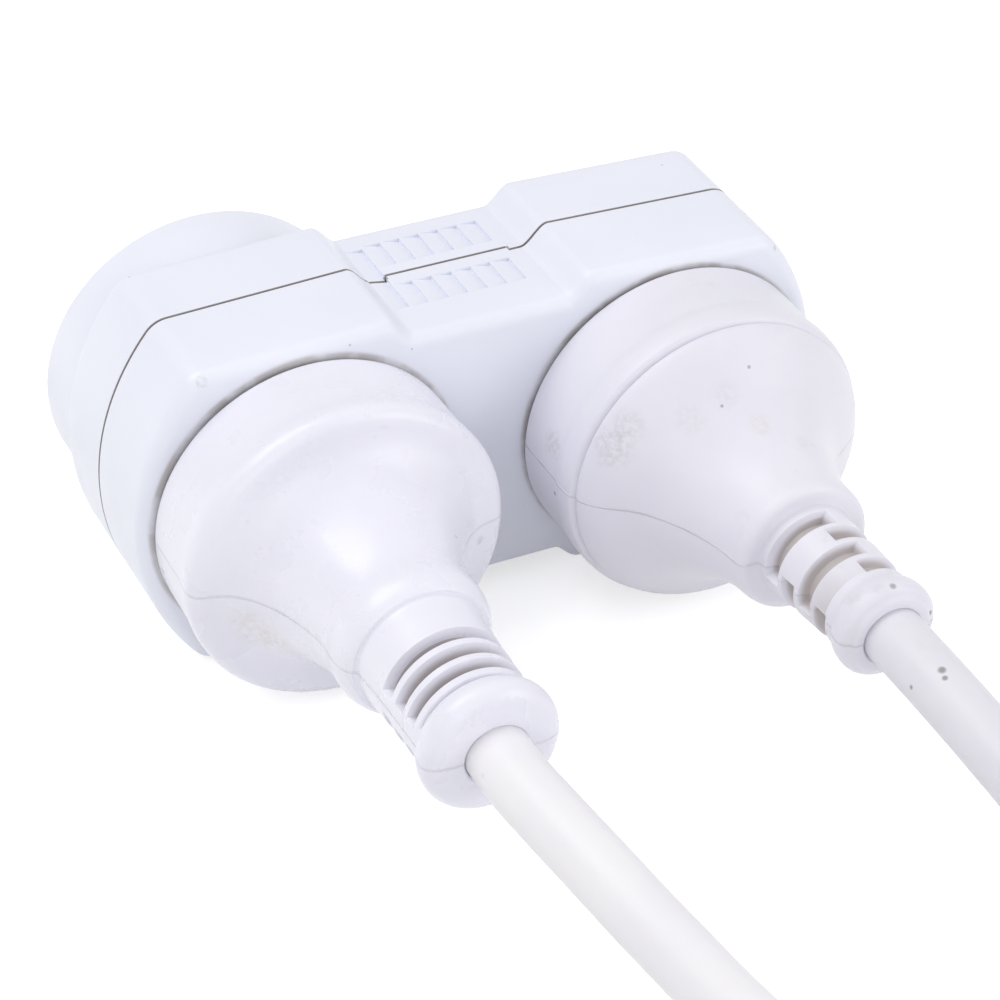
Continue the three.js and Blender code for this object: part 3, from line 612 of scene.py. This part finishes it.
# Materials
class Nodes:
    """A material's node tree, with short calls for the nodes used here."""

    def __init__(self, name):
        self.material = bpy.data.materials.new(name)
        self.material.use_nodes = True
        self.tree = self.material.node_tree
        self.shader = self.tree.nodes["Principled BSDF"]
        self.place = self.tree.nodes.new("ShaderNodeTexCoord").outputs["Object"]

    def link(self, source, target):
        self.tree.links.new(source, target)

    def noise(self, scale, detail=3, roughness=0.5, stretch=None):
        node = self.tree.nodes.new("ShaderNodeTexNoise")
        node.inputs["Scale"].default_value = scale
        node.inputs["Detail"].default_value = detail
        node.inputs["Roughness"].default_value = roughness
        vector = self.place
        if stretch:
            mapping = self.tree.nodes.new("ShaderNodeMapping")
            mapping.inputs["Scale"].default_value = stretch
            self.link(self.place, mapping.inputs["Vector"])
            vector = mapping.outputs["Vector"]
        self.link(vector, node.inputs["Vector"])
        return node.outputs["Fac"]

    def cells(self, scale):
        node = self.tree.nodes.new("ShaderNodeTexVoronoi")
        node.inputs["Scale"].default_value = scale
        self.link(self.place, node.inputs["Vector"])
        return node

    def math(self, operation, a, b=0.0, c=0.0):
        node = self.tree.nodes.new("ShaderNodeMath")
        node.operation = operation
        for socket, value in zip(node.inputs, (a, b, c)):
            if isinstance(value, (int, float)):
                socket.default_value = value
            else:
                self.link(value, socket)
        return node.outputs[0]

    def ramp(self, value, low, high, start=0.0, end=1.0):
        node = self.tree.nodes.new("ShaderNodeMapRange")
        node.interpolation_type = "SMOOTHSTEP"
        self.link(value, node.inputs["Value"])
        node.inputs["From Min"].default_value = low
        node.inputs["From Max"].default_value = high
        node.inputs["To Min"].default_value = start
        node.inputs["To Max"].default_value = end
        return node.outputs["Result"]

    def mix(self, fac, a, b):
        node = self.tree.nodes.new("ShaderNodeMix")
        node.data_type = "RGBA"
        for socket, value in ((node.inputs["Factor"], fac), (node.inputs["A"], a), (node.inputs["B"], b)):
            if isinstance(value, tuple):
                socket.default_value = (*value, 1)
            elif isinstance(value, (int, float)):
                socket.default_value = value
            else:
                self.link(value, socket)
        return node.outputs["Result"]

    def axes(self):
        node = self.tree.nodes.new("ShaderNodeSeparateXYZ")
        self.link(self.place, node.inputs[0])
        return node.outputs

    def spot(self, point, radius, softness=0.5):
        """1 within radius of a point, in millimetres, falling to 0 outside."""
        node = self.tree.nodes.new("ShaderNodeVectorMath")
        node.operation = "DISTANCE"
        self.link(self.place, node.inputs[0])
        node.inputs[1].default_value = [v * MM for v in point]
        near, far = radius * (1 - softness) * MM, radius * (1 + softness) * MM
        return self.ramp(node.outputs["Value"], near, far, 1.0, 0.0)

    def times(self, a, b):
        return self.math("MULTIPLY", a, b)

    def first_channel(self, colour):
        node = self.tree.nodes.new("ShaderNodeSeparateColor")
        self.link(colour, node.inputs[0])
        return node.outputs[0]

    def bump(self, height, distance, strength=1.0):
        node = self.tree.nodes.new("ShaderNodeBump")
        node.inputs["Strength"].default_value = strength
        node.inputs["Distance"].default_value = distance
        self.link(height, node.inputs["Height"])
        if self.shader.inputs["Normal"].links:
            self.link(self.shader.inputs["Normal"].links[0].from_socket, node.inputs["Normal"])
        self.link(node.outputs["Normal"], self.shader.inputs["Normal"])

    def finish(self, colour, roughness):
        self.link(colour, self.shader.inputs["Base Color"])
        self.link(roughness, self.shader.inputs["Roughness"])
        return self.material


def specks(nodes, scale, share, size):
    """Sparse small spots: in a few cells of a grid, one spot each."""
    cell = nodes.cells(scale)
    chosen = nodes.math("GREATER_THAN", nodes.first_channel(cell.outputs["Color"]), 1 - share)
    near = nodes.ramp(cell.outputs["Distance"], size * 0.5, size, 1.0, 0.0)
    return nodes.times(chosen, near)


# Colours of dirt, and of shade painted into the joint, the slots and round the plugs' bases; then the single
# marks on each piece: place, radius, strength and colour
GRIME_AND_SHADE = (0.42, 0.39, 0.37)
FAINT_DIRT = (0.42, 0.4, 0.38)
SEAM_DIRT = (0.45, 0.42, 0.4)
DARK_DUST = (0.2, 0.18, 0.17)
JOINT_SHADE_BROWN = (0.34, 0.29, 0.26)
SLOT_SHADE_BROWN = (0.48, 0.43, 0.41)
RUST = (0.42, 0.36, 0.32)
STAIN = (0.66, 0.6, 0.5)
SPECK = 0.6
CASE_MARKS = (
    ((-35.24, -1.35, 38.92), 0.7, 0.45, GRIME_AND_SHADE), ((-17.7, -1.57, 39.28), 0.14, 0.4, DARK_DUST),
    ((-10.16, -1.65, 36.77), 0.14, 0.4, DARK_DUST), ((-35.1, 20.37, 39.69), 0.13, 0.35, DARK_DUST),
    ((36.64, -1.18, 38.01), 0.3, 0.4, RUST), ((31.89, 17.86, 39.9), 0.14, 0.35, DARK_DUST),
)
PLUG_A_MARKS = (
    ((-35.52, -16.25, 16.0), 2.6, 0.4, STAIN), ((-33.28, -17.88, 14.08), 2.2, 0.5, STAIN),
    ((-7.47, -14.53, 18.21), 0.5, 0.35, GRIME_AND_SHADE),
)
PLUG_B_MARKS = (
    ((7.75, -16.39, 27.71), 2.2, 0.3, GRIME_AND_SHADE), ((9.56, -16.49, 30.4), 1.7, 0.24, GRIME_AND_SHADE),
    ((15.79, -19.39, 31.18), 1.6, 0.12, GRIME_AND_SHADE), ((20.2, -19.21, 33.23), 1.5, 0.12, GRIME_AND_SHADE),
    ((22.82, -22.87, 30.75), 1.4, 0.3, STAIN), ((23.85, -17.92, 35.2), 0.2, 0.6, DARK_DUST),
    ((19.5, -19.89, 32.36), 0.18, 0.6, DARK_DUST), ((24.61, -49.01, 26.08), 0.34, 0.6, DARK_DUST),
    ((29.4, -49.76, 21.38), 0.3, 0.8, DARK_DUST), ((4.57, -8.46, 23.85), 1.6, 0.35, GRIME_AND_SHADE),
)
LEAD_B_MARKS = (
    ((24.1, -60.19, 23.03), 0.42, 0.75, DARK_DUST), ((23.83, -61.24, 22.82), 0.3, 0.75, DARK_DUST),
)


def radius_about(nodes, x):
    """Distance from a plug's axis, in metres."""
    axes = nodes.axes()
    across = nodes.math("SUBTRACT", axes[0], x * MM)
    up = nodes.math("SUBTRACT", axes[2], AXIS_HEIGHT * MM)
    squares = nodes.math("ADD", nodes.times(across, across), nodes.times(up, up))
    return nodes.math("SQRT", squares)


def add_marks(nodes, colour, marks):
    """Single marks that the photograph shows: place and radius in millimetres, strength, colour."""
    ragged = nodes.ramp(nodes.noise(1600, 5, 0.7), 0.36, 0.66)
    for point, radius, strength, mark in marks:
        here = nodes.times(nodes.spot(point, radius), strength)
        if radius > SPECK:
            here = nodes.times(here, ragged)
        colour = nodes.mix(here, colour, mark)
    return colour


def joint_shadow(nodes):
    """Painted shade in the joint line, which steps back over the tongue in the waist."""
    x, y, z = nodes.axes()
    past_left = nodes.math("GREATER_THAN", x, TONGUE[0] * MM)
    inside = nodes.times(past_left, nodes.math("LESS_THAN", x, TONGUE[1] * MM))
    inside = nodes.times(inside, nodes.math("GREATER_THAN", z, AXIS_HEIGHT * MM))
    line = nodes.math("ADD", nodes.times(inside, TONGUE_REACH * MM), JOINT * MM)
    away = nodes.math("ABSOLUTE", nodes.math("SUBTRACT", y, line))
    return nodes.ramp(away, 0.16 * MM, 0.24 * MM, 1.0, 0.0)


def case_plastic():
    nodes = Nodes("case_plastic")
    tint = nodes.ramp(nodes.noise(35, 4), 0.3, 0.7)
    colour = nodes.mix(tint, (0.80, 0.82, 0.91), (0.83, 0.845, 0.935))
    dust = specks(nodes, 190, 0.035, 0.09)
    colour = nodes.mix(nodes.times(dust, 0.5), colour, DARK_DUST)
    colour = add_marks(nodes, colour, CASE_MARKS)
    face = nodes.ramp(nodes.axes()[1], (SOCKET_FACE + 0.1) * MM, (SOCKET_FACE + 0.4) * MM, 1.0, 0.0)
    patchy = nodes.ramp(nodes.noise(260, 3), 0.35, 0.6, 0.35, 1.0)
    # Painted contact shade, with some grime, in a patchy ring round each plug's base on the socket face
    for x in SOCKET_XS:
        ring = nodes.ramp(radius_about(nodes, x), 18.7 * MM, 19.3 * MM, 1.0, 0.0)
        darkening = nodes.times(nodes.times(ring, face), patchy)
        colour = nodes.mix(nodes.times(darkening, 0.7), colour, GRIME_AND_SHADE)
    # Painted shade in the joint line between the two shells
    colour = nodes.mix(nodes.times(joint_shadow(nodes), 0.8), colour, JOINT_SHADE_BROWN)
    rough = nodes.ramp(nodes.noise(260, 3), 0.3, 0.7, 0.34, 0.44)
    nodes.bump(nodes.noise(1500, 2, 0.6), 0.00002, 0.35)
    nodes.bump(nodes.noise(90, 2), 0.0001, 0.12)
    return nodes.finish(colour, rough)


def relief_shadow(nodes, x, slots, floor, skin_radius):
    """Painted shade, with some dirt, in the strain relief's slots of the plug on this axis."""
    y = nodes.axes()[1]
    first = SOCKET_FACE - slots[0][0]
    last = SOCKET_FACE - slots[-1][0] - slots[-1][1]
    past_first = nodes.math("LESS_THAN", y, first * MM)
    along = nodes.times(past_first, nodes.math("GREATER_THAN", y, last * MM))
    deep = nodes.ramp(radius_about(nodes, x), floor * MM, skin_radius * MM, 1.0, 0.0)
    return nodes.times(along, deep)


def vinyl(name, light, dark, dirt, gloss, seam_dirt=0.0, relief=None, marks=()):
    """Moulded flexible vinyl with dust specks and faint dirt, and on a plug its mould seam, with painted
    shade and some dirt in its slots and round its base.
    """
    nodes = Nodes(name)
    tint = nodes.ramp(nodes.noise(45, 4, 0.6), 0.3, 0.7)
    colour = nodes.mix(tint, dark, light)
    darkening = nodes.ramp(nodes.noise(140, 6, 0.7), 0.6, 0.78)
    darkening = nodes.times(darkening, nodes.ramp(nodes.noise(30, 2), 0.45, 0.65))
    colour = nodes.mix(nodes.times(darkening, dirt), colour, FAINT_DIRT)
    dust = specks(nodes, 230, 0.05, 0.08)
    colour = nodes.mix(nodes.times(dust, min(1.0, dirt * 2.2)), colour, DARK_DUST)
    if marks:
        colour = add_marks(nodes, colour, marks)
    if relief:
        # Painted shade, with some dirt, in the strain relief's slots
        inside = relief_shadow(nodes, *relief)
        colour = nodes.mix(nodes.times(inside, 0.8), colour, SLOT_SHADE_BROWN)
        # Painted contact shade, with some grime, in a band round the plug's base next to the socket face
        base = nodes.ramp(nodes.axes()[1], (SOCKET_FACE - 0.85) * MM, (SOCKET_FACE - 0.5) * MM)
        colour = nodes.mix(nodes.times(base, 0.6), colour, GRIME_AND_SHADE)
        height = nodes.math("ABSOLUTE", nodes.math("SUBTRACT", nodes.axes()[2], AXIS_HEIGHT * MM))
        seam = nodes.ramp(height, 0.00002, 0.00022, 1.0, 0.0)
        stained = nodes.times(seam, nodes.ramp(nodes.noise(120, 3), 0.42, 0.62))
        colour = nodes.mix(nodes.times(stained, seam_dirt), colour, SEAM_DIRT)
        nodes.bump(seam, 0.00012, 0.8)
    rough = nodes.ramp(nodes.noise(180, 4), 0.3, 0.7, gloss, gloss + 0.12)
    nodes.bump(nodes.noise(900, 3, 0.6), 0.00003, 0.3)
    nodes.shader.inputs["Subsurface Weight"].default_value = 0.12
    nodes.shader.inputs["Subsurface Scale"].default_value = 0.001
    nodes.shader.inputs["Subsurface Radius"].default_value = (1.0, 0.85, 0.8)
    return nodes.finish(colour, rough)


def metal(name, colour, deep, rough, scale):
    nodes = Nodes(name)
    tint = nodes.ramp(nodes.noise(scale, 4, 0.6, (1, 0.08, 1)), 0.3, 0.7)
    nodes.shader.inputs["Metallic"].default_value = 1.0
    nodes.bump(nodes.noise(scale * 4, 3, 0.6, (1, 0.05, 1)), 0.00002, 0.3)
    worn = nodes.ramp(nodes.noise(scale * 2), 0.3, 0.7, rough, rough + 0.14)
    return nodes.finish(nodes.mix(tint, deep, colour), worn)


LOOKS = {
    "case_plastic": case_plastic(),
    "plug_a_vinyl": vinyl("plug_a_vinyl", (0.84, 0.835, 0.92), (0.81, 0.805, 0.90), 0.12, 0.24, 0.12,
                          (SOCKET_XS[0], SLOTS_A, 5.4, 7.0), PLUG_A_MARKS),
    "plug_b_vinyl": vinyl("plug_b_vinyl", (0.81, 0.80, 0.87), (0.77, 0.76, 0.84), 0.35, 0.36, 0.5,
                          (SOCKET_XS[1] + 1.1, SLOTS_B, 4.6, 5.5), PLUG_B_MARKS),
    "lead_a_vinyl": vinyl("lead_a_vinyl", (0.87, 0.86, 0.88), (0.83, 0.82, 0.86), 0.06, 0.4),
    "lead_b_vinyl": vinyl("lead_b_vinyl", (0.79, 0.78, 0.83), (0.75, 0.74, 0.80), 0.3, 0.42,
                          marks=LEAD_B_MARKS),
    "connector_vinyl": vinyl("connector_vinyl", (0.84, 0.83, 0.87), (0.80, 0.79, 0.84), 0.1, 0.36),
    "carrier_plastic": vinyl("carrier_plastic", (0.86, 0.85, 0.8), (0.82, 0.81, 0.76), 0.05, 0.45),
    "pin_brass": metal("pin_brass", (0.78, 0.66, 0.4), (0.66, 0.53, 0.3), 0.24, 300),
    "contact_brass": metal("contact_brass", (0.72, 0.52, 0.2), (0.6, 0.42, 0.15), 0.28, 240),
    "screw_steel": metal("screw_steel", (0.6, 0.61, 0.63), (0.5, 0.51, 0.53), 0.26, 500),
}


def dress():
    slots = {part["node"]: part["material_slot"] for part in frame["record"]["subparts"]}
    for name, obj in frame["nodes"].items():
        obj.data.materials.clear()
        obj.data.materials.append(LOOKS[slots[name]])
    for obj in bpy.context.scene.objects:
        if obj.type == "MESH" and obj.get("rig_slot") in LOOKS:
            obj.data.materials.clear()
            obj.data.materials.append(LOOKS[obj["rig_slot"]])


dress()


# Floor, world and lights
def make_floor():
    half = 4000
    corners = [(-half, -half, 0), (half, -half, 0), (half, half, 0), (-half, half, 0)]
    floor = mesh_object("floor", corners, [(0, 1, 2, 3)])
    material = bpy.data.materials.new("floor")
    material.use_nodes = True
    tree = material.node_tree
    tree.nodes.remove(tree.nodes["Principled BSDF"])
    diffuse = tree.nodes.new("ShaderNodeBsdfDiffuse")
    diffuse.inputs["Color"].default_value = (0.8, 0.8, 0.8, 1)
    glow = tree.nodes.new("ShaderNodeEmission")
    path = tree.nodes.new("ShaderNodeLightPath")
    seen = tree.nodes.new("ShaderNodeMath")
    seen.operation = "MAXIMUM"
    tree.links.new(path.outputs["Is Camera Ray"], seen.inputs[0])
    tree.links.new(path.outputs["Is Glossy Ray"], seen.inputs[1])
    also = tree.nodes.new("ShaderNodeMath")
    also.operation = "MAXIMUM"
    tree.links.new(seen.outputs[0], also.inputs[0])
    tree.links.new(path.outputs["Is Transmission Ray"], also.inputs[1])
    strength = tree.nodes.new("ShaderNodeMath")
    strength.operation = "MULTIPLY"
    strength.inputs[1].default_value = 0.55
    tree.links.new(also.outputs[0], strength.inputs[0])
    tree.links.new(strength.outputs[0], glow.inputs["Strength"])
    total = tree.nodes.new("ShaderNodeAddShader")
    tree.links.new(diffuse.outputs[0], total.inputs[0])
    tree.links.new(glow.outputs[0], total.inputs[1])
    tree.links.new(total.outputs[0], tree.nodes["Material Output"].inputs["Surface"])
    floor.data.materials.append(material)


def make_world(strength):
    world = bpy.data.worlds.new("studio")
    world.use_nodes = True
    tree = world.node_tree
    background = tree.nodes["Background"]
    background.inputs["Color"].default_value = (1, 1, 1, 1)
    path = tree.nodes.new("ShaderNodeLightPath")
    seen = tree.nodes.new("ShaderNodeMath")
    seen.operation = "MAXIMUM"
    tree.links.new(path.outputs["Is Camera Ray"], seen.inputs[0])
    tree.links.new(path.outputs["Is Transmission Ray"], seen.inputs[1])
    level = tree.nodes.new("ShaderNodeMapRange")
    level.inputs["To Min"].default_value = strength
    level.inputs["To Max"].default_value = 1.0
    tree.links.new(seen.outputs[0], level.inputs["Value"])
    tree.links.new(level.outputs["Result"], background.inputs["Strength"])
    bpy.context.scene.world = world


def make_light(name, place, aim, size, power):
    data = bpy.data.lights.new(name, "AREA")
    data.size = size
    data.energy = power
    lamp = bpy.data.objects.new(name, data)
    direction = Vector(place) - Vector(aim)
    lamp.matrix_world = Matrix.Translation(place) @ direction.to_track_quat("Z", "Y").to_matrix().to_4x4()
    bpy.context.scene.collection.objects.link(lamp)


make_floor()
make_world(0.62)
OBJECT_AIM = (0, 0, 0.02)
PLUG_AIM = (-0.028, -0.02, 0.03)
make_light("key", (-0.5, 0.35, 1.1), OBJECT_AIM, 0.7, 5.0)
make_light("fill", (-0.5, -1.1, 0.45), OBJECT_AIM, 0.8, 2.4)
make_light("side", (0.9, -0.9, 0.45), OBJECT_AIM, 0.8, 4.4)
make_light("glint_left", (-0.733, 0.003, 1.0), PLUG_AIM, 0.07, 0.5)
make_light("glint_top", (-0.10, 0.27, 1.19), PLUG_AIM, 0.07, 0.5)
bpy.context.scene.view_settings.view_transform = "Standard"
